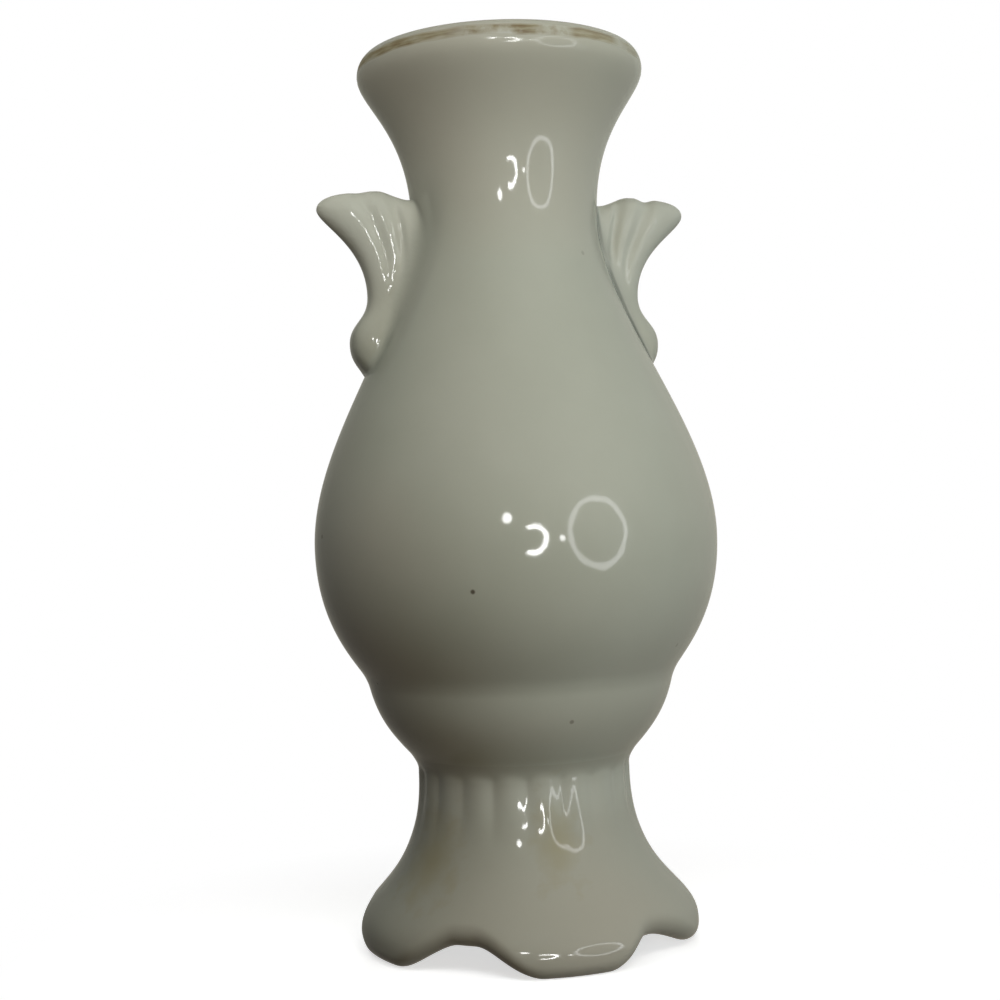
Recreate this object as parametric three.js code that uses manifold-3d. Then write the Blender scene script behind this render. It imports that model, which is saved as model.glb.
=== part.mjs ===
// A bud vase of glazed porcelain: a slip-cast baluster body that stands on a reeded pedestal foot with
// a scalloped hem, and two shell handles stuck to its shoulders with slip. Millimetres, +Z up.
// The vase stands on z = 0 with its axis along Z, and its handles reach out along X.
import * as THREE from "three";
import { mergeVertices } from "three/addons/utils/BufferGeometryUtils.js";
import Module from "manifold-3d";

// Whole height, and the rises up to the belly and down from the lip; the shoulder takes what they leave
const HEIGHT = 128;
const WAIST_HEIGHT = 24;
const CUP_RISE = 14.1;
const UNDERSIDE_RISE = 19.2;
const FLARE_RISE = 20.6;
const LIP_RISE = 2.8;

// Outer radii at the turning points
const FOOT_RADIUS = 24.55;
const WAIST_RADIUS = 15.36;
const STEP_RADIUS = 22.2;
const BELLY_RADIUS = 29.15;
const NECK_RADIUS = 13.55;
const MOUTH_RADIUS = 20.75;

// Walls, measured level, the floor of the body, and where the foot is stuck to it above the waist
const BODY_WALL = 4.2;
const FLOOR_THICKNESS = 4;
const FLOOR_FILLET = 3;
const FOOT_WALL = 4.2;
const SEAM_RISE = 3;

// How long each stretch of the profile keeps the direction of its lower and upper end, by its rise
const SKIRT_PULLS = [0.31, 0.68];
const CUP_PULLS = [0.32, 0.655];
const UNDERSIDE_PULLS = [0.146, 0.587];
const SHOULDER_PULLS = [0.345, 0.32];
const FLARE_PULLS = [0.62, 0.16];

// Outward slope of the profile just below and just above the step under the belly
const CUP_SLOPE = 0.2;
const UNDERSIDE_SLOPE = 0.6;

// Scalloped hem: a rolled edge that stands on flat pads, with an arch between each two lobes. The arches
// are cut by hand, each to its own height, and the first is the one to the right of the front lobe
const ARCH_RISES = [2.85, 3.4, 3.4, 3.5, 3.65];
const ARCH_LENGTH = 2.4;
const PAD_LENGTH = 6.7;
const PAD_WIDTH = 1.4;
const HEM_RISE = 1.5;
const LOBES = ARCH_RISES.length;

// Reeds of the stem, domed just under the seam, run out above the hem and turned a little off the lobes
const REEDS_PER_LOBE = 4;
const REED_DEPTH = 0.42;
const REED_DROP = 0.4;
const REED_ROUNDING = 2.6;
const REED_RUNOUT = 13.5;
const REED_TURN_DEGREES = -3.5;
const SEAM_EASE = 2.4;

// Shell handles: how far below the neck they start, and the rises from there to the bead, the scroll,
// the tip and the crown of the shell, with the drop from the crown to the dip of its top edge by the neck
const HANDLE_DROP = 23.3;
const BEAD_RISE = 4.9;
const SCROLL_RISE = 6.8;
const TIP_RISE = 12.3;
const CROWN_RISE = 2.45;
const CROWN_DROP = 1.2;

// How far the bead, the scroll and the tip stand off the body, and how thick the handle is there
const BEAD_REACH = 4.2;
const SCROLL_REACH = 4.42;
const TIP_REACH = 13.89;
const BEAD_THICKNESS = 7;
const SCROLL_THICKNESS = 4.6;
const SHELL_THICKNESS = 6;

// Directions of a handle's outer edge, as for the profile
const ROOT_PULLS = [0.35, 0.5];
const ROOT_SLOPE = 0.55;
const BEAD_PULLS = [0.45, 0.5];
const SHELL_PULLS = [0.6, 0.17];

// Grooves between the three ribs of the shell, the scallop that the outer one makes in the top edge, and
// the dip of that edge beside the body; places and spreads run from 0 at the body to 1 at the outer edge
const GROOVE_PLACES = [0.3, 0.6];
const GROOVE_SPREAD = 0.15;
const GROOVE_DEPTH = 0.75;
const SCALLOP_SPREAD = 0.12;
const SCALLOP_DEPTH = 0.35;
const DIP_PLACE = 0.12;
const DIP_SPREAD = 0.3;

// Roundness of the handle: powers of its section, its two ends and the corner at its tip, and how
// quickly the form of the top edge dies away down the shell
const SECTION_POWER = 0.67;
const END_FLATNESS = 8;
const END_POWER = 0.4;
const CORNER_POWER = 6;
const CROWN_FADE = 4;

// The handles are stuck on by hand, so each sits a little higher or lower, and its root is trimmed to fit
const ROOT_DEPTH = 1;
const LUTE_GAP = 0.3;
const LEFT_RAISE = 0.2;
const LEFT_TRIM = 0;
const RIGHT_RAISE = -0.7;
const RIGHT_TRIM = 0.45;

// Facets: points round the body and each reed, and rows along the profile, the edges and the handles
const BODY_SEGMENTS = 40;
const REED_SEGMENTS = 6;
const PROFILE_SEGMENTS = 80;
const OUTSIDE_SEGMENTS = [6, 7, 11, 8];
const INSIDE_SEGMENTS = [6, 7, 6];
const LIP_SEGMENTS = 8;
const FILLET_SEGMENTS = 3;
const SKIRT_SEGMENTS = [4, 8];
const SKIRT_INSIDE_SEGMENTS = 5;
const HEM_SEGMENTS = 3;
const HANDLE_SEGMENTS = 22;
const SECTION_SEGMENTS = 36;
const ROOT_SEGMENTS = 24;

const GLAZE = { color: 0xa9aa9c, roughness: 0.12, metalness: 0 };

const wasm = await Module();
wasm.setup();

function smooth(x) {
  const t = THREE.MathUtils.clamp(x, 0, 1);
  return t * t * (3 - 2 * t);
}

// A soft hump of height 1 at a place, which is 0 from the spread on
function hump(x, place, spread) {
  return smooth(1 - Math.abs(x - place) / spread);
}

// Numbers from one value to another in equal steps, both ends included
function steps(from, to, count) {
  return Array.from({ length: count + 1 }, (_, i) => from + ((to - from) * i) / count);
}

// A rising stretch of an outline between two of its turning points
function stretch(low, high, pulls, lowSlope = 0, highSlope = 0) {
  const lowPull = pulls[0] * (high.y - low.y);
  const highPull = pulls[1] * (high.y - low.y);
  return new THREE.CubicBezierCurve(
    low,
    new THREE.Vector2(low.x + lowSlope * lowPull, low.y + lowPull),
    new THREE.Vector2(high.x - highSlope * highPull, high.y - highPull),
    high,
  );
}

// Turning points of the profile: x is the radius, y the height
const hem = new THREE.Vector2(FOOT_RADIUS, HEM_RISE);
const waist = new THREE.Vector2(WAIST_RADIUS, WAIST_HEIGHT);
const step = new THREE.Vector2(STEP_RADIUS, waist.y + CUP_RISE);
const belly = new THREE.Vector2(BELLY_RADIUS, step.y + UNDERSIDE_RISE);
const lip = new THREE.Vector2(MOUTH_RADIUS, HEIGHT - LIP_RISE);
const neck = new THREE.Vector2(NECK_RADIUS, lip.y - FLARE_RISE);
const seamHeight = WAIST_HEIGHT + SEAM_RISE;
const reedTurn = THREE.MathUtils.degToRad(REED_TURN_DEGREES);
const profile = [
  stretch(hem, waist, SKIRT_PULLS),
  stretch(waist, step, CUP_PULLS, 0, CUP_SLOPE),
  stretch(step, belly, UNDERSIDE_PULLS, UNDERSIDE_SLOPE, 0),
  stretch(belly, neck, SHOULDER_PULLS),
  stretch(neck, lip, FLARE_PULLS),
];
const profilePoints = profile.flatMap((curve) => curve.getPoints(PROFILE_SEGMENTS));

// Outer radius of the body and foot at a height, before reeds and scallops
function outerRadius(z) {
  const above = profilePoints.findIndex((point) => point.y >= z);
  if (above < 0) return lip.x;
  if (above === 0) return hem.x;
  const a = profilePoints[above - 1];
  const b = profilePoints[above];
  return b.y === a.y ? b.x : a.x + ((b.x - a.x) * (z - a.y)) / (b.y - a.y);
}

// A quarter or half ellipse in the profile plane, between two angles
function roundEdge(centreR, centreZ, radiusR, radiusZ, fromAngle, toAngle, count) {
  return steps(fromAngle, toAngle, count).map(
    (angle) => new THREE.Vector2(centreR + radiusR * Math.cos(angle), centreZ + radiusZ * Math.sin(angle)),
  );
}

function revolve(points) {
  return new THREE.LatheGeometry(points, BODY_SEGMENTS).rotateX(Math.PI / 2);
}

// Joins rings of equally many points into a closed skin; the last ring meets the first if it is a tube
function skin(rings, tube) {
  const count = rings[0].length;
  const positions = rings.flat().flatMap((point) => point.toArray());
  const index = [];
  const last = tube ? rings.length : rings.length - 1;
  for (let i = 0; i < last; i += 1) {
    const next = (i + 1) % rings.length;
    for (let j = 0; j < count; j += 1) {
      const k = (j + 1) % count;
      index.push(i * count + j, i * count + k, next * count + k);
      index.push(i * count + j, next * count + k, next * count + j);
    }
  }
  const geometry = new THREE.BufferGeometry();
  geometry.setAttribute("position", new THREE.Float32BufferAttribute(positions, 3));
  geometry.setIndex(index);
  return geometry;
}

function toSolid(geometry) {
  const bare = geometry.clone();
  bare.deleteAttribute("normal");
  bare.deleteAttribute("uv");
  const merged = mergeVertices(bare, 1e-4);
  const corners = merged.index.array;
  const triVerts = [];
  for (let i = 0; i < corners.length; i += 3) {
    const [a, b, c] = corners.slice(i, i + 3);
    if (a !== b && b !== c && c !== a) triVerts.push(a, b, c);
  }
  const mesh = new wasm.Mesh({
    numProp: 3,
    vertProperties: new Float32Array(merged.attributes.position.array),
    triVerts: new Uint32Array(triVerts),
  });
  return new wasm.Manifold(mesh);
}

function toGeometry(solid) {
  const mesh = solid.getMesh();
  const geometry = new THREE.BufferGeometry();
  geometry.setAttribute("position", new THREE.BufferAttribute(mesh.vertProperties, 3));
  geometry.setIndex(new THREE.BufferAttribute(mesh.triVerts, 1));
  return geometry;
}

function porcelain(name, geometry) {
  geometry.computeVertexNormals();
  const mesh = new THREE.Mesh(geometry, new THREE.MeshStandardMaterial(GLAZE));
  mesh.name = name;
  return mesh;
}

// Body: neck, belly and the cup under it, hollow down to its floor
function bodyGeometry() {
  const turns = [seamHeight, step.y, belly.y, neck.y, lip.y];
  const heights = OUTSIDE_SEGMENTS.flatMap((rows, i) => steps(turns[i], turns[i + 1], rows).slice(1));
  const floor = seamHeight + FLOOR_THICKNESS;
  const wallFoot = floor + FLOOR_FILLET;
  const innerTurns = [lip.y, neck.y, belly.y, wallFoot];
  const innerHeights = INSIDE_SEGMENTS.flatMap((rows, i) =>
    steps(innerTurns[i], innerTurns[i + 1], rows).slice(1),
  );
  const innerRadius = (z) => outerRadius(z) - BODY_WALL;
  const lipCentre = MOUTH_RADIUS - BODY_WALL / 2;
  const filletCentre = innerRadius(wallFoot) - FLOOR_FILLET;
  const down = -Math.PI / 2;
  const fillet = roundEdge(filletCentre, wallFoot, FLOOR_FILLET, FLOOR_FILLET, 0, down, FILLET_SEGMENTS);
  return revolve([
    new THREE.Vector2(0, seamHeight),
    new THREE.Vector2(outerRadius(seamHeight), seamHeight),
    ...heights.map((z) => new THREE.Vector2(outerRadius(z), z)),
    ...roundEdge(lipCentre, lip.y, BODY_WALL / 2, LIP_RISE, 0, Math.PI, LIP_SEGMENTS).slice(1),
    ...innerHeights.map((z) => new THREE.Vector2(innerRadius(z), z)),
    ...fillet.slice(1),
    new THREE.Vector2(0, floor),
  ]);
}

// Height of the hem's lower edge at an angle: level on a lobe's pad, highest between two lobes
function hemHeight(angle) {
  const pitch = (2 * Math.PI) / LOBES;
  const stance = FOOT_RADIUS - FOOT_WALL / 2;
  const turns = (angle + Math.PI / 2) / pitch;
  const fromLobe = Math.abs(turns - Math.round(turns)) * pitch;
  const flank = pitch / 2 - (PAD_LENGTH + ARCH_LENGTH) / 2 / stance;
  const rise = ARCH_RISES[THREE.MathUtils.euclideanModulo(Math.floor(turns), LOBES)];
  return rise * smooth((fromLobe - PAD_LENGTH / 2 / stance) / flank);
}

// How far the skirt lies back beside a reed and over its domed top
function reedGroove(angle, z) {
  const phase = ((angle - reedTurn + Math.PI / 2) * LOBES * REEDS_PER_LOBE) / 2;
  const dome = smooth((seamHeight - REED_DROP - z) / REED_ROUNDING);
  const top = smooth((seamHeight - z) / SEAM_EASE);
  const end = smooth(1 - (WAIST_HEIGHT - z) / REED_RUNOUT);
  return REED_DEPTH * (1 - Math.abs(Math.cos(phase)) * dome) * top * end;
}

// Section of the foot's wall at an angle, from its top down the outside, round the hem and up the inside
function footSection(angle) {
  const roll = FOOT_WALL / 2;
  const down = -Math.PI / 2;
  const padTurn = Math.asin(PAD_WIDTH / 2 / roll);
  const rollHigh = hemHeight(angle) + roll * Math.cos(padTurn);
  const tilt = Math.atan((outerRadius(rollHigh) - outerRadius(rollHigh + roll)) / roll);
  const rollTop = rollHigh + roll * Math.sin(tilt);
  const rollCentre = outerRadius(rollTop) - roll * Math.cos(tilt);
  const outside = [
    ...steps(seamHeight, WAIST_HEIGHT, SKIRT_SEGMENTS[0]),
    ...steps(WAIST_HEIGHT, rollTop, SKIRT_SEGMENTS[1]).slice(1),
  ];
  const inside = steps(rollHigh, seamHeight, SKIRT_INSIDE_SEGMENTS).slice(1);
  return [
    ...outside.map((z) => new THREE.Vector2(outerRadius(z) - reedGroove(angle, z), z)),
    ...roundEdge(rollCentre, rollHigh, roll, roll, tilt, down + padTurn, HEM_SEGMENTS).slice(1),
    ...roundEdge(rollCentre, rollHigh, roll, roll, down - padTurn, 2 * down, HEM_SEGMENTS),
    ...inside.map((z) => new THREE.Vector2(outerRadius(z) - FOOT_WALL, z)),
  ];
}

// Foot: a hollow skirt whose reeds run out above the lobes of its hem
function footGeometry() {
  const around = LOBES * REEDS_PER_LOBE * REED_SEGMENTS;
  const rings = steps(reedTurn, reedTurn + 2 * Math.PI, around)
    .slice(0, -1)
    .map((angle) =>
      footSection(angle).map(
        (point) => new THREE.Vector3(point.x * Math.cos(angle), point.x * Math.sin(angle), point.y),
      ),
    );
  return skin(rings, true);
}

// Turning points of a handle in its own plane: x is the distance from the axis, y the height
function standOff(height, reach) {
  return new THREE.Vector2(outerRadius(height) + reach, height);
}
const handleRoot = standOff(neck.y - HANDLE_DROP, -LUTE_GAP);
const bead = standOff(handleRoot.y + BEAD_RISE, BEAD_REACH);
const scroll = standOff(bead.y + SCROLL_RISE, SCROLL_REACH);
const tip = standOff(scroll.y + TIP_RISE, TIP_REACH);
const crownHeight = tip.y + CROWN_RISE;
const crownRoot = standOff(crownHeight - CROWN_DROP / 2, -ROOT_DEPTH);

// Outer edge of a handle, and where along it, from 0 to 1, the bead and the scroll are
const handleEdge = new THREE.CurvePath();
handleEdge.add(stretch(handleRoot, bead, ROOT_PULLS, ROOT_SLOPE, 0));
handleEdge.add(stretch(bead, scroll, BEAD_PULLS));
handleEdge.add(stretch(scroll, tip, SHELL_PULLS));
const edgeLengths = handleEdge.getCurveLengths();
const beadPlace = edgeLengths[0] / edgeLengths[2];
const scrollPlace = edgeLengths[1] / edgeLengths[2];

// Depth of the grooves between the ribs, from 0 on a rib to 1
function ribGroove(out) {
  return Math.max(...GROOVE_PLACES.map((place) => hump(out, place, GROOVE_SPREAD)));
}

// Top edge of a handle from its root to its tip, dipping beside the body and over the outer groove
function handleTop(out) {
  const corner = Math.sqrt(1 - Math.pow(out, CORNER_POWER));
  const dip = CROWN_DROP * hump(out, DIP_PLACE, DIP_SPREAD);
  const scallop = SCALLOP_DEPTH * hump(out, GROOVE_PLACES[1], SCALLOP_SPREAD);
  const height = tip.y + CROWN_RISE * corner - dip - scallop;
  return new THREE.Vector2(crownRoot.x + (tip.x - crownRoot.x) * out, height);
}

// A point of the handle's middle plane: up is 0 below the bead and 1 at the top edge, out is 0 at the root
function handlePoint(up, out) {
  const rootHeight = handleRoot.y + (crownRoot.y - handleRoot.y) * up;
  const chord = handleTop(0).lerp(handleTop(1), out);
  const bulge = handleTop(out).sub(chord).multiplyScalar(Math.pow(up, CROWN_FADE));
  return standOff(rootHeight, -ROOT_DEPTH).lerp(handleEdge.getPoint(up), out).add(bulge);
}

// Half the handle's thickness before its edges are rounded
function handleHalf(up, out) {
  const beadShare = hump(up, beadPlace, scrollPlace - beadPlace);
  const shellShare = smooth((up - scrollPlace) / (1 - scrollPlace));
  const flat = SCROLL_THICKNESS + (SHELL_THICKNESS - SCROLL_THICKNESS) * shellShare;
  const thickness = flat + (BEAD_THICKNESS - flat) * beadShare;
  const groove = GROOVE_DEPTH * smooth((up - beadPlace) / (1 - scrollPlace)) * ribGroove(out);
  return Math.max(0, thickness / 2 - groove);
}

// Handle: a thick shell with ribs that gather into a scroll and end in a bead
function handleGeometry() {
  const levels = steps(0, Math.PI, HANDLE_SEGMENTS).map((turn) => (1 - Math.cos(turn)) / 2);
  const rings = levels.map((up) => {
    const end = Math.pow(1 - Math.pow(Math.abs(2 * up - 1), END_FLATNESS), END_POWER);
    return steps(-Math.PI / 2, Math.PI / 2, SECTION_SEGMENTS).map((angle) => {
      const out = Math.pow(Math.max(0, Math.cos(angle)), SECTION_POWER);
      const side = Math.sign(angle) * Math.pow(Math.abs(Math.sin(angle)), SECTION_POWER);
      const middle = handlePoint(up, out);
      return new THREE.Vector3(middle.x, end * handleHalf(up, out) * side, middle.y);
    });
  });
  return skin(rings, false);
}

// What the body takes away from a handle's root, with the layer of slip between them
function rootCutter() {
  const low = handleRoot.y - 2 * BEAD_THICKNESS;
  const high = Math.min(crownHeight + SHELL_THICKNESS, lip.y);
  return revolve([
    new THREE.Vector2(0, low),
    ...steps(low, high, ROOT_SEGMENTS).map((z) => standOff(z, LUTE_GAP)),
    new THREE.Vector2(0, high),
  ]);
}

function handleAt(raise, trim, turn) {
  const placed = handleGeometry().translate(-trim, 0, raise).rotateZ(turn);
  return toGeometry(toSolid(placed).subtract(toSolid(rootCutter())));
}

const vase = new THREE.Group();
vase.add(porcelain("vase_body", bodyGeometry()));
vase.add(porcelain("pedestal_foot", footGeometry()));
vase.add(porcelain("handle_left", handleAt(LEFT_RAISE, LEFT_TRIM, Math.PI)));
vase.add(porcelain("handle_right", handleAt(RIGHT_RAISE, RIGHT_TRIM, 0)));

export default vase;
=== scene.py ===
import math
import bmesh
import bpy
import numpy as np
from mathutils import Matrix, Vector


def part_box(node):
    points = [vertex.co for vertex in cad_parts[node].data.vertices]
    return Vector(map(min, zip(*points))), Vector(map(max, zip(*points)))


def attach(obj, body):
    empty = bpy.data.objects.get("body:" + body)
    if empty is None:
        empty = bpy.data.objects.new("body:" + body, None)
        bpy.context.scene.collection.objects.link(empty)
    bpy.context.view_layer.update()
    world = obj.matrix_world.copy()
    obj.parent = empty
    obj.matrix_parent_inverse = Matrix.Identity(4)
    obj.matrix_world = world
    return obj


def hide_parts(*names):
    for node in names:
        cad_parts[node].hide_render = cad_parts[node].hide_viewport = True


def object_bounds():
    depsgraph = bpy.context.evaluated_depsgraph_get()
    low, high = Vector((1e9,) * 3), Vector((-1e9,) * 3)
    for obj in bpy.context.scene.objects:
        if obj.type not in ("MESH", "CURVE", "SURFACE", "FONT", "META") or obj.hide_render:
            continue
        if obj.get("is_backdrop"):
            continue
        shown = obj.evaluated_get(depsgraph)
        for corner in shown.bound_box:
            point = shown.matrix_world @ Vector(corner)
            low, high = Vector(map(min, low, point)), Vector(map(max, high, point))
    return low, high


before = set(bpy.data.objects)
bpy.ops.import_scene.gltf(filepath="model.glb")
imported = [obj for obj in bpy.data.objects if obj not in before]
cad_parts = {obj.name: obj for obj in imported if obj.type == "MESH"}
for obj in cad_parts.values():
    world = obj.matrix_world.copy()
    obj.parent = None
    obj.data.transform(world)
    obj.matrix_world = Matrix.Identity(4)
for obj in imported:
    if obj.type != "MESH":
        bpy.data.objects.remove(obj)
cad_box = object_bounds()

# Body
# One slip-cast porcelain baluster: cup, belly, shoulder, neck and flared lip, about 4 mm thick, drained
# hollow, fettled and glazed inside and out. The foot and the handles are stuck to it with slip.
MM = 0.001
body_low, body_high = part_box("vase_body")
SEAM_HEIGHT = body_low[2] / MM
HEIGHT = body_high[2] / MM
BELLY_RADIUS = body_high[0] / MM

# Turning points of the outer profile, as radius and height in millimetres
LIP_RISE = 2.8
HEM = (24.55, 2.4)
WAIST = (15.36, 24.0)
STEP = (22.2, 38.1)
BELLY = (BELLY_RADIUS, 57.3)
NECK = (13.55, 104.6)
LIP = (20.75, HEIGHT - LIP_RISE)

# How far each curve between them keeps its end slopes, as shares of its rise, and the slopes at the step
SKIRT_PULLS = (0.25, 0.708)
CUP_PULLS = (0.32, 0.655)
UNDERSIDE_PULLS = (0.146, 0.587)
SHOULDER_PULLS = (0.345, 0.32)
FLARE_PULLS = (0.62, 0.16)
CUP_SLOPE = 0.2
UNDERSIDE_SLOPE = 0.6

BODY_WALL = 4.2
FLOOR_THICKNESS = 4.0
FLOOR_FILLET = 3.0
STEP_SOFTNESS = 1.2
STEP_SPREAD = 4.0
STEP_BAND = 2.0
STEP_SAMPLES = 9
SEAM_CREASE = 0.12
SEAM_SPREAD = 1.6
MERGE_DISTANCE = 0.002
SHARP_ANGLE = math.radians(50)

# Facets round the body and levels of points along its section
BODY_SEGMENTS = 192
CUP_LEVELS = 40
STEP_LEVELS = 24
OUTSIDE_LEVELS = 120
LIP_LEVELS = 32
INSIDE_LEVELS = 90
FILLET_LEVELS = 10


def smooth(x):
    """Eases from 0 to 1 with level ends."""
    t = np.clip(x, 0.0, 1.0)
    return t * t * (3.0 - 2.0 * t)


def stretch(low, high, pulls, low_slope=0.0, high_slope=0.0, count=160):
    """Points of a rising curve; each end keeps its slope for its pull, a share of the rise."""
    low, high = np.array(low), np.array(high)
    rise = high[1] - low[1]
    low_handle = low + np.array([low_slope, 1.0]) * pulls[0] * rise
    high_handle = high - np.array([high_slope, 1.0]) * pulls[1] * rise
    t = np.linspace(0.0, 1.0, count)[:, None]
    return (
        (1 - t) ** 3 * low
        + 3 * (1 - t) ** 2 * t * low_handle
        + 3 * (1 - t) * t**2 * high_handle
        + t**3 * high
    )


profile = np.vstack([
    stretch(HEM, WAIST, SKIRT_PULLS),
    stretch(WAIST, STEP, CUP_PULLS, 0.0, CUP_SLOPE),
    stretch(STEP, BELLY, UNDERSIDE_PULLS, UNDERSIDE_SLOPE, 0.0),
    stretch(BELLY, NECK, SHOULDER_PULLS),
    stretch(NECK, LIP, FLARE_PULLS),
])


def plain_radius(z):
    """Outer radius at a height, before the step and the joint are worked over."""
    return np.interp(z, profile[:, 1], profile[:, 0])


def outer_radius(z):
    """Outer radius at a height, with the step's crease softened and the joint over the foot drawn in."""
    z = np.asarray(z, dtype=float)
    sharp = plain_radius(z)
    shifts = np.linspace(-STEP_SOFTNESS, STEP_SOFTNESS, STEP_SAMPLES)
    soft = np.mean([plain_radius(z + shift) for shift in shifts], axis=0)
    near_step = smooth(1.0 - np.abs(z - STEP[1]) / STEP_SPREAD)
    crease = SEAM_CREASE * smooth(1.0 - np.abs(z - SEAM_HEIGHT) / SEAM_SPREAD)
    return sharp + (soft - sharp) * near_step - crease


def arc(centre, radii, start, end, count):
    """Points of an ellipse's arc in the profile plane, between two angles in degrees."""
    a = np.radians(np.linspace(start, end, count))
    return np.stack([centre[0] + radii[0] * np.cos(a), centre[1] + radii[1] * np.sin(a)], axis=1)


def grid_faces(rows, columns, close_rows, close_columns):
    """Faces between neighbours in rows and columns of points."""
    faces = []
    for i in range(rows if close_rows else rows - 1):
        row = i * columns
        next_row = (i + 1) % rows * columns
        for j in range(columns if close_columns else columns - 1):
            beside = (j + 1) % columns
            faces.append((row + j, row + beside, next_row + beside, next_row + j))
    return faces


def grid_piece(name, points, close_rows, close_columns):
    """A smooth mesh over rows and columns of points in millimetres, with doubles merged and faces out."""
    faces = grid_faces(*points.shape[:2], close_rows, close_columns)
    mesh = bpy.data.meshes.new(name)
    mesh.from_pydata((points.reshape(-1, 3) * MM).tolist(), [], faces)
    work = bmesh.new()
    work.from_mesh(mesh)
    bmesh.ops.remove_doubles(work, verts=work.verts, dist=MERGE_DISTANCE * MM)
    bmesh.ops.recalc_face_normals(work, faces=work.faces)
    work.to_mesh(mesh)
    work.free()
    mesh.shade_smooth()
    mesh.set_sharp_from_angle(angle=SHARP_ANGLE)
    piece = bpy.data.objects.new(name, mesh)
    bpy.context.scene.collection.objects.link(piece)
    return piece


def turned(sections, angles):
    """Points of profile sections, one for each angle about the axis."""
    radius, height = sections[..., 0], sections[..., 1]
    across, along = np.cos(angles)[:, None], np.sin(angles)[:, None]
    return np.stack([radius * across, radius * along, height + 0.0 * across], axis=-1)


step_low, step_high = STEP[1] - STEP_BAND, STEP[1] + STEP_BAND
outer_heights = np.concatenate([
    np.linspace(SEAM_HEIGHT, step_low, CUP_LEVELS)[:-1],
    np.linspace(step_low, step_high, STEP_LEVELS)[:-1],
    np.linspace(step_high, LIP[1], OUTSIDE_LEVELS),
])
floor_height = SEAM_HEIGHT + FLOOR_THICKNESS
wall_foot = floor_height + FLOOR_FILLET
inner_heights = np.linspace(LIP[1], wall_foot, INSIDE_LEVELS)[1:]
inner_foot = outer_radius(wall_foot) - BODY_WALL
lip_centre = (LIP[0] - BODY_WALL / 2, LIP[1])
fillet_centre = (inner_foot - FLOOR_FILLET, wall_foot)
body_section = np.vstack([
    [(0.0, SEAM_HEIGHT)],
    np.stack([outer_radius(outer_heights), outer_heights], axis=1),
    arc(lip_centre, (BODY_WALL / 2, LIP_RISE), 0, 180, LIP_LEVELS)[1:],
    np.stack([outer_radius(inner_heights) - BODY_WALL, inner_heights], axis=1),
    arc(fillet_centre, (FLOOR_FILLET, FLOOR_FILLET), 0, -90, FILLET_LEVELS)[1:],
    [(0.0, floor_height)],
])
body_angles = np.linspace(0.0, 2 * math.pi, BODY_SEGMENTS, endpoint=False)
body = grid_piece("body", turned(body_section[None], body_angles), True, False)


def linear(hex_colour):
    """Linear colour of an sRGB hex value, with alpha."""
    channels = [int(hex_colour[i:i + 2], 16) / 255 for i in (1, 3, 5)]
    return tuple(c / 12.92 if c <= 0.04045 else ((c + 0.055) / 1.055) ** 2.4 for c in channels) + (1.0,)


def add(tree, kind, inputs=(), **settings):
    """Adds a node with its settings; an input is a value or the socket that feeds it."""
    node = tree.nodes.new(kind)
    for key, value in settings.items():
        setattr(node, key, value)
    for key, value in dict(inputs).items():
        if isinstance(value, bpy.types.NodeSocket):
            tree.links.new(value, node.inputs[key])
        else:
            node.inputs[key].default_value = value
    return node


# Glazed porcelain: a pale grey-green feldspar glaze over white clay. The eye gets a soft even tone with
# slow clouds where the glaze lies thicker, a few iron specks, a wet gloss and a skin that is not quite true.
GLAZE = "#a8aa9c"
GLAZE_THICK = "#a0a394"
GLAZE_WARM = "#aaa596"
# Painted shade where the handles meet the body, which stands also for glaze pooled there
GLAZE_POOL_AND_SHADE = "#7f8275"
IRON = "#4a4236"
GLAZE_IOR = 1.5
GLAZE_ROUGHNESS = 0.07
CLOUD_SIZE = 26.0
CLOUD_DETAIL = 3.0
CLOUD_LOW = 0.35
CLOUD_HIGH = 0.7
TINT_SIZE = 60.0
TINT_DETAIL = 2.0
TINT_LOW = 0.4
TINT_HIGH = 0.7
SPECK_PITCH = 11.0
SPECK_RADIUS = 0.3
SPECK_CORE = 0.5
SPECK_SHARE = 0.16
RIPPLE_SIZE = 7.0
RIPPLE_HEIGHT = 0.06
RIPPLE_DETAIL = 2.6
GRAIN_SIZE = 1.3
GRAIN_HEIGHT = 0.0006
GRAIN_DETAIL = 2.0


def keep_pool_and_shade(piece, share):
    """Keeps the share of painted shade, with glaze pooled there too, at each point of a piece, from a rule
    for places in millimetres.
    """
    places = np.array([vertex.co for vertex in piece.data.vertices]) / MM
    depth = piece.data.attributes.new("pool_and_shade", "FLOAT", "POINT")
    depth.data.foreach_set("value", share(places[:, 0], places[:, 1], places[:, 2]).astype(np.float32))


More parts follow.
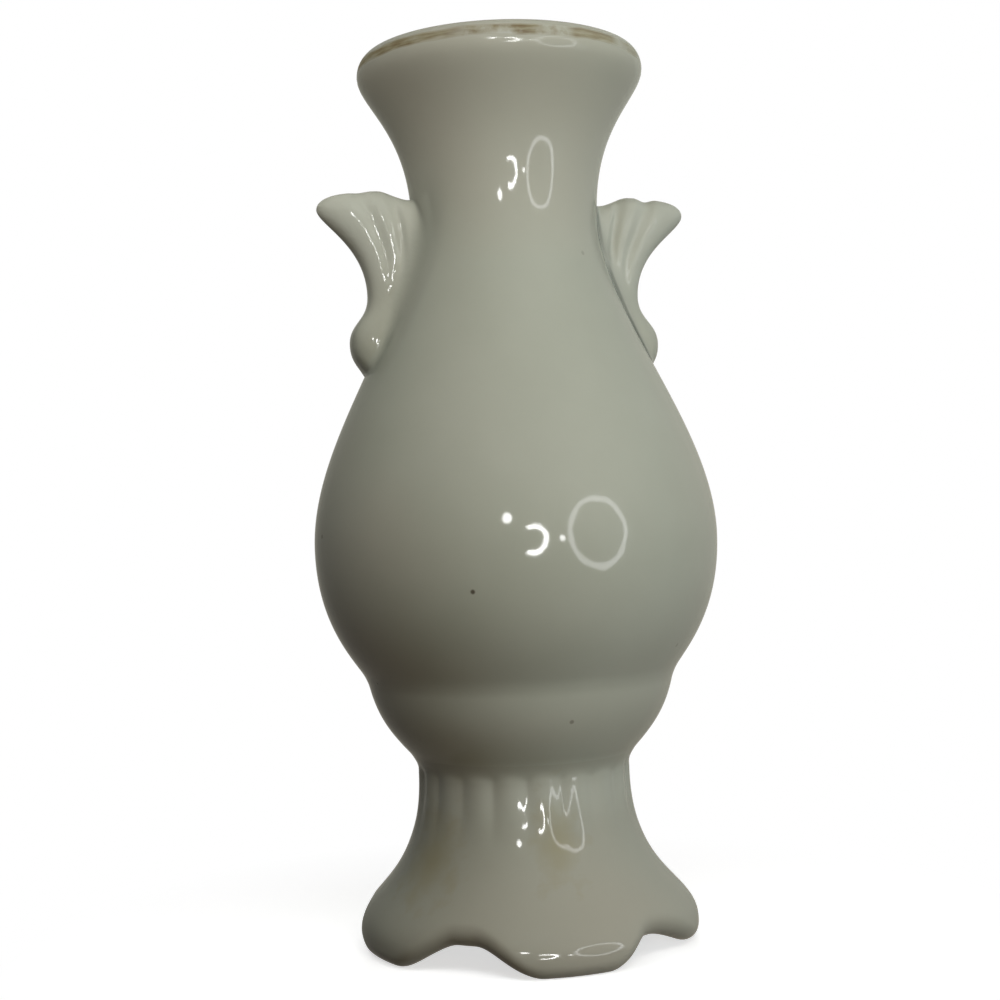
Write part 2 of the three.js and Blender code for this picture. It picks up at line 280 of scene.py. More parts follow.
def porcelain(name, ripple_size, ripple_height):
    """A material with the glaze's nodes; returns it with its tree, shader, colour and millimetre vector."""
    material = bpy.data.materials.new(name)
    material.use_nodes = True
    tree = material.node_tree
    shader = tree.nodes["Principled BSDF"]
    place = add(tree, "ShaderNodeTexCoord").outputs["Object"]
    mm = add(tree, "ShaderNodeVectorMath", {0: place, "Scale": 1 / MM}, operation="SCALE").outputs["Vector"]
    clouds = {"Vector": mm, "Scale": 1 / CLOUD_SIZE, "Detail": CLOUD_DETAIL}
    cloud = add(tree, "ShaderNodeTexNoise", clouds).outputs["Fac"]
    thick = add(tree, "ShaderNodeMapRange", {"Value": cloud, 1: CLOUD_LOW, 2: CLOUD_HIGH}).outputs[0]
    tints = {"Vector": mm, "Scale": 1 / TINT_SIZE, "Detail": TINT_DETAIL}
    tint = add(tree, "ShaderNodeTexNoise", tints).outputs["Fac"]
    warm = add(tree, "ShaderNodeMapRange", {"Value": tint, 1: TINT_LOW, 2: TINT_HIGH}).outputs[0]
    cells = add(tree, "ShaderNodeTexVoronoi", {"Vector": mm, "Scale": 1 / SPECK_PITCH}).outputs
    lot = add(tree, "ShaderNodeSeparateColor", {"Color": cells["Color"]}).outputs["Red"]
    chosen = add(tree, "ShaderNodeMath", {0: lot, 1: SPECK_SHARE}, operation="LESS_THAN").outputs[0]
    speck_edge = SPECK_RADIUS / SPECK_PITCH
    fading = {"Value": cells["Distance"], 1: SPECK_CORE * speck_edge, 2: speck_edge, 3: 1.0, 4: 0.0}
    spot = add(tree, "ShaderNodeMapRange", fading).outputs[0]
    speck = add(tree, "ShaderNodeMath", {0: spot, 1: chosen}, operation="MULTIPLY").outputs[0]
    # Painted shade: the glaze is darker where the handles meet the body, with glaze pooled there too
    pool_and_shade = add(tree, "ShaderNodeAttribute", attribute_name="pool_and_shade").outputs["Fac"]
    colour = linear(GLAZE)
    for share, tone in ((thick, GLAZE_THICK), (warm, GLAZE_WARM), (pool_and_shade, GLAZE_POOL_AND_SHADE), (speck, IRON)):
        coat = {"Factor": share, 6: colour, 7: linear(tone)}
        colour = add(tree, "ShaderNodeMix", coat, data_type="RGBA").outputs[2]
    ripples = {"Vector": mm, "Scale": 1 / ripple_size, "Detail": RIPPLE_DETAIL}
    ripple = add(tree, "ShaderNodeTexNoise", ripples).outputs["Fac"]
    pits = {"Vector": mm, "Scale": 1 / GRAIN_SIZE, "Detail": GRAIN_DETAIL}
    grain = add(tree, "ShaderNodeTexNoise", pits).outputs["Fac"]
    waves = {"Height": ripple, "Strength": 1.0, "Distance": ripple_height * MM}
    skin = add(tree, "ShaderNodeBump", waves).outputs["Normal"]
    grains = {"Height": grain, "Strength": 1.0, "Distance": GRAIN_HEIGHT * MM, "Normal": skin}
    fine = add(tree, "ShaderNodeBump", grains).outputs["Normal"]
    shader.inputs["IOR"].default_value = GLAZE_IOR
    shader.inputs["Roughness"].default_value = GLAZE_ROUGHNESS
    tree.links.new(colour, shader.inputs["Base Color"])
    tree.links.new(fine, shader.inputs["Normal"])
    return material, tree, shader, colour, mm


# Worn gilding on the lip: a brushed line of gold fired on the glaze, rubbed thin to a matt brown and away
# in patches. The eye gets a broken brown-gold line, streaked along the rim, under the crest of the lip.
GILT = "#857d60"
GILT_DARK = "#6f5f43"
GILT_LOW = LIP[1] + 0.2
GILT_HIGH = LIP[1] + 1.8
GILT_EDGE = 0.3
GILT_INNER = LIP[0] - 1.6
GILT_WAVER = 0.7
BRUSH_LENGTH = 9.0
BRUSH_DETAIL = 3.0
BRUSH_LOW = 0.3
BRUSH_HIGH = 0.7
WEAR_LENGTH = 5.0
WEAR_DETAIL = 5.0
WEAR_ROUGHNESS = 0.6
WEAR_LOW = 0.42
WEAR_HIGH = 0.58
STREAK_LENGTH = 3.0
STREAK_WIDTH = 0.5
STREAK_DETAIL = 4.0
THIN_LOW = 0.28
THIN_HIGH = 0.5
THIN_SHARE = 0.5
DARK_LOW = 0.48
DARK_HIGH = 0.7

# Where across the vase the gold is less worn: from a place to the left end, and in a patch at the right
GILT_KEPT = (-7.0, -12.0)
GILT_PATCH = 9.0
GILT_PATCH_REACH = 4.5
GILT_PATCH_EDGE = 1.5
GILT_PATCH_SHARE = 0.85

# The lip is dulled by handling, and the line of gilding is dull all along
RUBBED_LOW = LIP[1] - 2.0
RUBBED_HIGH = LIP[1] - 0.8
RUBBED_ROUGHNESS = 0.13
GILT_ROUGHNESS = 0.4

# Iron flecks that show on the front of the body: where each lies and how strong it is
FLECKS = (
    ((-12.3, -25.9, 51.5), 0.9),
    ((1.8, -20.6, 33.2), 0.5),
    ((-28.8, -4.2, 59.1), 0.6),
    ((18.1, -17.5, 42.4), 0.25),
    ((8.2, -12.0, 97.5), 0.2),
)
FLECK_RADIUS = 0.4

# Keeps only the level part of a vector
LEVEL_PART = (1.0, 1.0, 0.0)

gilded, tree, shader, glaze_colour, mm = porcelain(
    "glazed_porcelain_with_worn_gilding", RIPPLE_SIZE, RIPPLE_HEIGHT
)
axes = add(tree, "ShaderNodeSeparateXYZ", {0: mm}).outputs
bearing = add(tree, "ShaderNodeMath", {0: axes["Y"], 1: axes["X"]}, operation="ARCTAN2").outputs[0]
along = add(tree, "ShaderNodeMath", {0: bearing, 1: LIP[0]}, operation="MULTIPLY").outputs[0]
rim = add(tree, "ShaderNodeCombineXYZ", {"X": along, "Y": axes["Z"]}).outputs[0]
brushing = {"Vector": rim, "Scale": 1 / BRUSH_LENGTH, "Detail": BRUSH_DETAIL}
brush = add(tree, "ShaderNodeTexNoise", brushing).outputs["Fac"]
wavering = {"Value": brush, 1: BRUSH_LOW, 2: BRUSH_HIGH, 3: -GILT_WAVER / 2, 4: GILT_WAVER / 2}
waver = add(tree, "ShaderNodeMapRange", wavering).outputs[0]
level = add(tree, "ShaderNodeMath", {0: axes["Z"], 1: waver}, operation="ADD").outputs[0]
above = add(tree, "ShaderNodeMapRange", {"Value": level, 1: GILT_LOW, 2: GILT_LOW + GILT_EDGE}).outputs[0]
crest = {"Value": level, 1: GILT_HIGH - GILT_EDGE, 2: GILT_HIGH, 3: 1.0, 4: 0.0}
below = add(tree, "ShaderNodeMapRange", crest).outputs[0]
flat = add(tree, "ShaderNodeVectorMath", {0: mm, 1: LEVEL_PART}, operation="MULTIPLY").outputs[0]
from_axis = add(tree, "ShaderNodeVectorMath", {0: flat}, operation="LENGTH").outputs["Value"]
outside = add(tree, "ShaderNodeMath", {0: from_axis, 1: GILT_INNER}, operation="GREATER_THAN").outputs[0]
band = add(tree, "ShaderNodeMath", {0: above, 1: below}, operation="MULTIPLY").outputs[0]
line = add(tree, "ShaderNodeMath", {0: band, 1: outside}, operation="MULTIPLY").outputs[0]
wearing = {"Vector": rim, "Scale": 1 / WEAR_LENGTH, "Detail": WEAR_DETAIL, "Roughness": WEAR_ROUGHNESS}
wear = add(tree, "ShaderNodeTexNoise", wearing).outputs["Fac"]
left = add(tree, "ShaderNodeMapRange", {"Value": wear, 1: WEAR_LOW, 2: WEAR_HIGH}).outputs[0]
spared = add(tree, "ShaderNodeMapRange", {"Value": axes["X"], 1: GILT_KEPT[0], 2: GILT_KEPT[1]}).outputs[0]
beside = add(tree, "ShaderNodeMath", {0: axes["X"], 1: GILT_PATCH}, operation="SUBTRACT").outputs[0]
apart = add(tree, "ShaderNodeMath", {0: beside}, operation="ABSOLUTE").outputs[0]
patch_core = GILT_PATCH_REACH - GILT_PATCH_EDGE
patching = {"Value": apart, 1: patch_core, 2: GILT_PATCH_REACH, 3: GILT_PATCH_SHARE, 4: 0.0}
patch = add(tree, "ShaderNodeMapRange", patching).outputs[0]
unworn = add(tree, "ShaderNodeMath", {0: spared, 1: patch}, operation="MAXIMUM").outputs[0]
held = add(tree, "ShaderNodeMath", {0: left, 1: unworn}, operation="MAXIMUM").outputs[0]
streak_scale = (1 / STREAK_LENGTH, 1 / STREAK_WIDTH, 1.0)
drawn = add(tree, "ShaderNodeVectorMath", {0: rim, 1: streak_scale}, operation="MULTIPLY").outputs[0]
streaking = {"Vector": drawn, "Scale": 1.0, "Detail": STREAK_DETAIL}
streaks = add(tree, "ShaderNodeTexNoise", streaking).outputs["Fac"]
thinning = {"Value": streaks, 1: THIN_LOW, 2: THIN_HIGH, 3: THIN_SHARE, 4: 1.0}
thin = add(tree, "ShaderNodeMapRange", thinning).outputs[0]
kept = add(tree, "ShaderNodeMath", {0: held, 1: thin}, operation="MULTIPLY").outputs[0]
gold = add(tree, "ShaderNodeMath", {0: line, 1: kept}, operation="MULTIPLY").outputs[0]
dark = add(tree, "ShaderNodeMapRange", {"Value": streaks, 1: DARK_LOW, 2: DARK_HIGH}).outputs[0]
golds = {"Factor": dark, 6: linear(GILT), 7: linear(GILT_DARK)}
gilt = add(tree, "ShaderNodeMix", golds, data_type="RGBA").outputs[2]
gilding = {"Factor": gold, 6: glaze_colour, 7: gilt}
body_colour = add(tree, "ShaderNodeMix", gilding, data_type="RGBA").outputs[2]
for spot, share in FLECKS:
    away = add(tree, "ShaderNodeVectorMath", {0: mm, 1: spot}, operation="DISTANCE").outputs["Value"]
    fading = {"Value": away, 1: SPECK_CORE * FLECK_RADIUS, 2: FLECK_RADIUS, 3: share, 4: 0.0}
    fleck = add(tree, "ShaderNodeMapRange", fading).outputs[0]
    flecked = {"Factor": fleck, 6: body_colour, 7: linear(IRON)}
    body_colour = add(tree, "ShaderNodeMix", flecked, data_type="RGBA").outputs[2]
handling = {"Value": axes["Z"], 1: RUBBED_LOW, 2: RUBBED_HIGH, 3: GLAZE_ROUGHNESS, 4: RUBBED_ROUGHNESS}
handled = add(tree, "ShaderNodeMapRange", handling).outputs[0]
rubbed = add(tree, "ShaderNodeMapRange", {"Value": line, 3: handled, 4: GILT_ROUGHNESS}).outputs[0]
tree.links.new(body_colour, shader.inputs["Base Color"])
tree.links.new(rubbed, shader.inputs["Roughness"])
body.data.materials.append(gilded)
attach(body, "root")
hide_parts("vase_body")

# Pedestal foot
# A hollow cast skirt under the cup, reeded below the joint and trimmed to lobes and arches at the hem,
# whose edge is rolled. It is glazed like the body and stands on the ground undersides of its lobes.
FOOT_WALL = 4.2
ROLL_RADIUS = 2.1
PAD_LENGTH = 6.7
PAD_CUT = 0.12
HEM_EASE = 6.0
SLOPE_STEP = 0.1
ROLL_FITTINGS = 12

# The arch after each lobe, from the front lobe to the right and round: its rise and the length of its top.
# Bearings from the front go with the lobes passed there, a count that is whole at the middle of a lobe.
ARCH_RISES = np.array([3.2, 3.4, 3.4, 3.5, 3.75])
ARCH_LENGTH = 2.4
HEM_BEARINGS = np.radians([0.0, 13.0, 31.5, 33.5, 66.0, 72.0, 144.0, 216.0, 285.0, 360.0])
HEM_TURNS = (0.0, 0.118, 0.458, 0.542, 0.882, 1.0, 2.0, 3.0, 4.0, 5.0)

REEDS = 20
REED_DEPTH = 0.38
REED_TURN = math.radians(-3.5)
REED_TOP = SEAM_HEIGHT - 0.4
REED_ROUNDING = 2.6
REED_END = 14.0
GROOVE_SOFTNESS = 0.03
JOINT_EASE = 2.4

# Facets round the foot and levels of points along its section
REED_FACETS = 18
FOOT_SEGMENTS = REED_FACETS * REEDS
STEM_LEVELS = 24
SKIRT_LEVELS = 64
ROLL_LEVELS = 28
HOLLOW_LEVELS = 24

foot_angles = REED_TURN + np.linspace(0.0, 2 * math.pi, FOOT_SEGMENTS, endpoint=False)
pitch = 2 * math.pi / len(ARCH_RISES)
from_front = (foot_angles + math.pi / 2) % (2 * math.pi)
turns = np.interp(from_front, HEM_BEARINGS, HEM_TURNS)
from_lobe = np.abs(turns - np.round(turns)) * pitch
stance = HEM[0] - FOOT_WALL / 2
flank = pitch / 2 - (PAD_LENGTH + ARCH_LENGTH) / 2 / stance
rises = ARCH_RISES[np.floor(turns).astype(int) % len(ARCH_RISES)]
hem_heights = rises * smooth((from_lobe - PAD_LENGTH / 2 / stance) / flank) - PAD_CUT


def skirt_radius(z):
    """Outer radius of the skirt, carried on straight down below the hem's widest."""
    return np.where(np.asarray(z) < HEM[1], HEM[0], outer_radius(z))


def foot_section(hem_height):
    """Section of the skirt's wall: down the outside, round the rolled hem and up the inside."""
    touch = hem_height + ROLL_RADIUS
    for _ in range(ROLL_FITTINGS):
        spread = skirt_radius(touch - SLOPE_STEP) - skirt_radius(touch + SLOPE_STEP)
        tilt = np.arctan2(spread, 2 * SLOPE_STEP)
        touch = hem_height + ROLL_RADIUS * (1.0 + np.sin(tilt))
    centre = (skirt_radius(touch) - ROLL_RADIUS * np.cos(tilt), touch - ROLL_RADIUS * np.sin(tilt))
    upper = np.linspace(SEAM_HEIGHT, WAIST[1], STEM_LEVELS)[:-1]
    lower = np.linspace(WAIST[1], touch, SKIRT_LEVELS)
    outside = np.concatenate([upper, lower])
    roll = arc(centre, (ROLL_RADIUS, ROLL_RADIUS), np.degrees(tilt), -180, ROLL_LEVELS)[1:]
    inside = np.linspace(centre[1], SEAM_HEIGHT, HOLLOW_LEVELS)[1:]
    start = centre[0] - ROLL_RADIUS
    wall = outer_radius(inside) - FOOT_WALL
    ease = smooth((inside - centre[1]) / HEM_EASE)
    inner = start + (skirt_radius(inside) - skirt_radius(centre[1])) * (1 - ease)
    section = np.vstack([
        np.stack([skirt_radius(outside), outside], axis=1),
        roll,
        np.stack([inner * (1 - ease) + wall * ease, inside], axis=1),
    ])
    section[:, 1] = np.maximum(section[:, 1], 0.0)
    return section


foot_points = turned(np.array([foot_section(height) for height in hem_heights]), foot_angles)
foot = grid_piece("foot", foot_points, True, True)

# The reeds are pressed into the skirt by a rule: round ridges with a domed top just under the joint, whose
# grooves run out above the hem. Only faces that look away from the axis take them.
reeding = bpy.data.node_groups.new("reeded_stem", "GeometryNodeTree")
reed_sizes = {
    "Reeds": ("NodeSocketInt", REEDS),
    "Turn": ("NodeSocketFloat", REED_TURN),
    "Depth": ("NodeSocketFloat", REED_DEPTH * MM),
    "Joint height": ("NodeSocketFloat", SEAM_HEIGHT * MM),
    "Top height": ("NodeSocketFloat", REED_TOP * MM),
    "Top rounding": ("NodeSocketFloat", REED_ROUNDING * MM),
    "Waist height": ("NodeSocketFloat", WAIST[1] * MM),
    "End height": ("NodeSocketFloat", REED_END * MM),
}
reeding.interface.new_socket("Geometry", in_out="INPUT", socket_type="NodeSocketGeometry")
reeding.interface.new_socket("Geometry", in_out="OUTPUT", socket_type="NodeSocketGeometry")
sockets = {}
for label, (kind, _) in reed_sizes.items():
    sockets[label] = reeding.interface.new_socket(label, in_out="INPUT", socket_type=kind).identifier
finish = reeding.interface.new_socket("Finish", in_out="INPUT", socket_type="NodeSocketMaterial").identifier
given = add(reeding, "NodeGroupInput").outputs
place = add(reeding, "GeometryNodeInputPosition").outputs[0]
xyz = add(reeding, "ShaderNodeSeparateXYZ", {0: place}).outputs
angle = add(reeding, "ShaderNodeMath", {0: xyz["Y"], 1: xyz["X"]}, operation="ARCTAN2").outputs[0]
from_first = add(reeding, "ShaderNodeMath", {0: angle, 1: given["Turn"]}, operation="SUBTRACT").outputs[0]
from_front = add(reeding, "ShaderNodeMath", {0: from_first, 1: math.pi / 2}, operation="ADD").outputs[0]
half_turns = add(reeding, "ShaderNodeMath", {0: given["Reeds"], 1: 0.5}, operation="MULTIPLY").outputs[0]
phase = add(reeding, "ShaderNodeMath", {0: from_front, 1: half_turns}, operation="MULTIPLY").outputs[0]
wave = add(reeding, "ShaderNodeMath", {0: phase}, operation="COSINE").outputs[0]
softening = {0: wave, 1: wave, 2: GROOVE_SOFTNESS}
softened = add(reeding, "ShaderNodeMath", softening, operation="MULTIPLY_ADD").outputs[0]
ridge = add(reeding, "ShaderNodeMath", {0: softened}, operation="SQRT").outputs[0]
from_top = {0: given["Top height"], 1: xyz["Z"]}
under_top = add(reeding, "ShaderNodeMath", from_top, operation="SUBTRACT").outputs[0]
doming = {"Value": under_top, "From Max": given["Top rounding"]}
dome = add(reeding, "ShaderNodeMapRange", doming, interpolation_type="SMOOTHERSTEP").outputs[0]
domed = add(reeding, "ShaderNodeMath", {0: ridge, 1: dome}, operation="MULTIPLY").outputs[0]
groove = add(reeding, "ShaderNodeMath", {0: 1.0, 1: domed}, operation="SUBTRACT").outputs[0]
from_joint = {0: given["Joint height"], 1: xyz["Z"]}
under_joint = add(reeding, "ShaderNodeMath", from_joint, operation="SUBTRACT").outputs[0]
clearing = {"Value": under_joint, "From Max": JOINT_EASE * MM}
clear = add(reeding, "ShaderNodeMapRange", clearing, interpolation_type="SMOOTHSTEP").outputs[0]
run_out = {"Value": xyz["Z"], "From Min": given["End height"], "From Max": given["Waist height"]}
running = add(reeding, "ShaderNodeMapRange", run_out, interpolation_type="SMOOTHSTEP").outputs[0]
level = add(reeding, "ShaderNodeVectorMath", {0: place, 1: LEVEL_PART}, operation="MULTIPLY").outputs[0]
radial = add(reeding, "ShaderNodeVectorMath", {0: level}, operation="NORMALIZE").outputs[0]
normal = add(reeding, "GeometryNodeInputNormal").outputs[0]
sides = {0: normal, 1: radial}
facing = add(reeding, "ShaderNodeVectorMath", sides, operation="DOT_PRODUCT").outputs["Value"]
outer = add(reeding, "ShaderNodeMath", {0: facing, 1: 0.0}, operation="GREATER_THAN").outputs[0]
deep = add(reeding, "ShaderNodeMath", {0: groove, 1: given["Depth"]}, operation="MULTIPLY").outputs[0]
eased = add(reeding, "ShaderNodeMath", {0: deep, 1: clear}, operation="MULTIPLY").outputs[0]
fading = add(reeding, "ShaderNodeMath", {0: eased, 1: running}, operation="MULTIPLY").outputs[0]
pressed = add(reeding, "ShaderNodeMath", {0: fading, 1: outer}, operation="MULTIPLY").outputs[0]
inward = add(reeding, "ShaderNodeMath", {0: pressed, 1: -1.0}, operation="MULTIPLY").outputs[0]
shift = add(reeding, "ShaderNodeVectorMath", {0: radial, "Scale": inward}, operation="SCALE").outputs[0]
moved = {"Geometry": given["Geometry"], "Offset": shift}
reeded = add(reeding, "GeometryNodeSetPosition", moved).outputs[0]
whole = add(reeding, "GeometryNodeRealizeInstances", {"Geometry": reeded}).outputs[0]
coated = {"Geometry": whole, "Material": given["Finish"]}
dressed = add(reeding, "GeometryNodeSetMaterial", coated).outputs[0]
add(reeding, "NodeGroupOutput", {0: dressed})

# Glazed porcelain of the foot: the same glaze, greyed a little by grime, with painted light that makes
# the reeds paler, tea-coloured stains at two runs of the glaze and bare bisque where the lobes were
# ground to stand. The eye gets reeds made paler by painted light and warm cloudy patches low on a cool
# glaze.
GRIME = "#8b8b7d"
GRIME_SHARE = 0.2
GLAZE_PAINTED_LIGHT = "#b9bbae"
REED_LIGHTENING = 0.5
REED_FADE = 3.0
JOINT_FADE = 4.0
STAIN = "#8f824c"
STAIN_SHARE = 0.42
STAIN_DRAWN = (1.0, 1.0, 0.6)
STAINS = (((0.2, -16.3, 16.2), 4.2), ((-15.5, -7.6, 13.0), 6.5))
BLOTCH_SIZE = 3.0
BLOTCH_DETAIL = 4.0
BLOTCH_LOW = 0.3
BLOTCH_HIGH = 0.7
RAGGED_FAR = 1.4
RAGGED_NEAR = 0.6
BISQUE = "#c9c2b2"
BISQUE_ROUGHNESS = 0.75
BARE_HEIGHT = 0.12
stained, tree, shader, glaze_colour, mm = porcelain(
    "glazed_porcelain_of_the_foot", RIPPLE_SIZE, RIPPLE_HEIGHT
)
rise = add(tree, "ShaderNodeSeparateXYZ", {0: mm}).outputs["Z"]
grime = {"Factor": GRIME_SHARE, 6: glaze_colour, 7: linear(GRIME)}
foot_colour = add(tree, "ShaderNodeMix", grime, data_type="RGBA").outputs[2]
# Painted light: the reeds are made paler, fading in above the hem and out just under the joint
reed_rise = {"Value": rise, 1: REED_END + REED_FADE, 2: WAIST[1], 4: REED_LIGHTENING}
lit_reeds = add(tree, "ShaderNodeMapRange", reed_rise, interpolation_type="SMOOTHSTEP").outputs[0]
joint_rise = {"Value": rise, 1: SEAM_HEIGHT - JOINT_FADE, 2: SEAM_HEIGHT, 3: 1.0, 4: 0.0}
off_joint = add(tree, "ShaderNodeMapRange", joint_rise, interpolation_type="SMOOTHSTEP").outputs[0]
thin = add(tree, "ShaderNodeMath", {0: lit_reeds, 1: off_joint}, operation="MULTIPLY").outputs[0]
lightened = {"Factor": thin, 6: foot_colour, 7: linear(GLAZE_PAINTED_LIGHT)}
foot_colour = add(tree, "ShaderNodeMix", lightened, data_type="RGBA").outputs[2]
blotching = {"Vector": mm, "Scale": 1 / BLOTCH_SIZE, "Detail": BLOTCH_DETAIL}
blotches = add(tree, "ShaderNodeTexNoise", blotching).outputs["Fac"]
tearing = {"Value": blotches, 1: BLOTCH_LOW, 2: BLOTCH_HIGH, 3: RAGGED_FAR, 4: RAGGED_NEAR}
ragged = add(tree, "ShaderNodeMapRange", tearing).outputs[0]
for spot, radius in STAINS:
    aside = add(tree, "ShaderNodeVectorMath", {0: mm, 1: spot}, operation="SUBTRACT").outputs[0]
    drawn = add(tree, "ShaderNodeVectorMath", {0: aside, 1: STAIN_DRAWN}, operation="MULTIPLY").outputs[0]
    away = add(tree, "ShaderNodeVectorMath", {0: drawn}, operation="LENGTH").outputs["Value"]
    reach = add(tree, "ShaderNodeMath", {0: away, 1: ragged}, operation="MULTIPLY").outputs[0]
    soaking = {"Value": reach, 1: 0.0, 2: radius, 3: STAIN_SHARE, 4: 0.0}
    soaked = add(tree, "ShaderNodeMapRange", soaking).outputs[0]
    staining = {"Factor": soaked, 6: foot_colour, 7: linear(STAIN)}
    foot_colour = add(tree, "ShaderNodeMix", staining, data_type="RGBA").outputs[2]
bare = add(tree, "ShaderNodeMath", {0: rise, 1: BARE_HEIGHT}, operation="LESS_THAN").outputs[0]
grinding = {"Factor": bare, 6: foot_colour, 7: linear(BISQUE)}
ground = add(tree, "ShaderNodeMix", grinding, data_type="RGBA").outputs[2]
dull = add(tree, "ShaderNodeMapRange", {"Value": bare, 3: GLAZE_ROUGHNESS, 4: BISQUE_ROUGHNESS}).outputs[0]
tree.links.new(ground, shader.inputs["Base Color"])
tree.links.new(dull, shader.inputs["Roughness"])

press = foot.modifiers.new("reeds", "NODES")
press.node_group = reeding
for label, (_, value) in reed_sizes.items():
    press[sockets[label]] = value
press[finish] = stained
pressed_foot = foot.evaluated_get(bpy.context.evaluated_depsgraph_get())
foot_mesh = bpy.data.meshes.new_from_object(pressed_foot)
foot.modifiers.clear()
foot.data = foot_mesh
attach(foot, "root")
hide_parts("pedestal_foot")

# Shell handles
# Two solid pressings from one mould, each a three-ribbed shell whose ribs gather into a scroll and end in a
# bead. They were stuck to the shoulders by hand, so the right one sits lower, and glaze fills the joint.

# Turning points of the outer edge, as reach from the body and height, and the pulls of the curves between
HANDLE_BOTTOM = 81.3
BEAD = (4.2, 86.2)
SCROLL = (4.42, 93.0)
TIP = (13.89, 105.3)
ROOT_SINK = 0.3
ROOT_SLOPE = 0.55
ROOT_PULLS = (0.35, 0.5)
BEAD_PULLS = (0.45, 0.5)
SHELL_PULLS = (0.6, 0.17)

# The top edge: its crown, the dip beside the body, the rise of the middle rib and the scallop beyond it,
# whose places and spreads are shares of the way from the body to the outer edge
CROWN = 2.45
CROWN_ROUNDING = 6
CROWN_FADE = 4
INNER_DIP = 1.2
DIP_PLACE = 0.12
DIP_SPREAD = 0.3
RIB_RISE = 0.12
RIB_SPREAD = 0.2
SCALLOP_SPREAD = 0.12

# Where the crests and the grooves of the three ribs lie, from the body at 0 to the outer edge at 1
RIB_PLACES = (0.0, 0.2, 0.3, 0.45, 0.6, 0.8, 1.0)
RIB_PHASES = (0.5, 0.5, 1.0, 1.5, 2.0, 2.5, 2.5)
MIDDLE_RIB, OUTER_GROOVE = RIB_PLACES[3], RIB_PLACES[4]
RIB_FADE = 0.3
GROOVE_POWER = 1.4

# Thickness across, the squareness of the section and of its ends, and the necking of the bead at the body
BEAD_THICKNESS = 8.4
SCROLL_THICKNESS = 6.8
SHELL_THICKNESS = 7.2
SECTION_SQUARENESS = 3.0
SECTION_CROWDING = 1.8
END_FLATNESS = 8
END_POWER = 0.4
TIP_SPARED = 0.8
BEAD_NECKING = 0.1
BEAD_MIDDLE = 0.45

# The fillet of glaze at the root, and how far painted shade, with glaze pooled there too,
# and the body's shading reach from it
ROOT_DEPTH = 1.2
ROOT_FILLET = 2.6
BEAD_FILLET = 1.5
FILLET_POWER = 3
FILLET_FADE = 0.3
POOL_SHADE_SHARE = 0.36
POOL_SHADE_SHARE_RIGHT = 0.12
POOL_SHADE_SPREAD = 3.5
POOL_SHADE_REACH = 1.6
MELT_REACH = 0.7

HANDLE_LEVELS = 150
HANDLE_ROUND = 301


def stand_off(height, reach):
    """A point of the handle's plane that stands off the body, as distance from the axis and height."""
    return np.stack([outer_radius(height) + reach, height + 0.0 * np.asarray(reach)], axis=-1)


root_point = stand_off(HANDLE_BOTTOM, -ROOT_SINK)
bead_point = stand_off(BEAD[1], BEAD[0])
scroll_point = stand_off(SCROLL[1], SCROLL[0])
tip_point = stand_off(TIP[1], TIP[0])
crown_root = stand_off(TIP[1] + CROWN - INNER_DIP / 2, -ROOT_DEPTH)
edge = np.vstack([
    stretch(root_point, bead_point, ROOT_PULLS, ROOT_SLOPE, 0.0),
    stretch(bead_point, scroll_point, BEAD_PULLS)[1:],
    stretch(scroll_point, tip_point, SHELL_PULLS)[1:],
])
edge_run = np.concatenate([[0.0], np.cumsum(np.linalg.norm(np.diff(edge, axis=0), axis=1))])
edge_run /= edge_run[-1]
bead_place = np.interp(bead_point[1], edge[:, 1], edge_run)
scroll_place = np.interp(scroll_point[1], edge[:, 1], edge_run)


def handle_top(out, dip):
    """The shell's top edge, from its root at 0 to its tip at 1, dipping beside the body and between ribs."""
    corner = np.sqrt(np.maximum(0.0, 1.0 - out**CROWN_ROUNDING))
    inner = INNER_DIP * smooth(1.0 - np.abs(out - DIP_PLACE) / DIP_SPREAD)
    middle = RIB_RISE * smooth(1.0 - np.abs(out - MIDDLE_RIB) / RIB_SPREAD)
    between = dip * smooth(1.0 - np.abs(out - OUTER_GROOVE) / SCALLOP_SPREAD)
    height = tip_point[1] + CROWN * corner - inner + middle - between
    return np.stack([crown_root[0] + (tip_point[0] - crown_root[0]) * out, height], axis=-1)


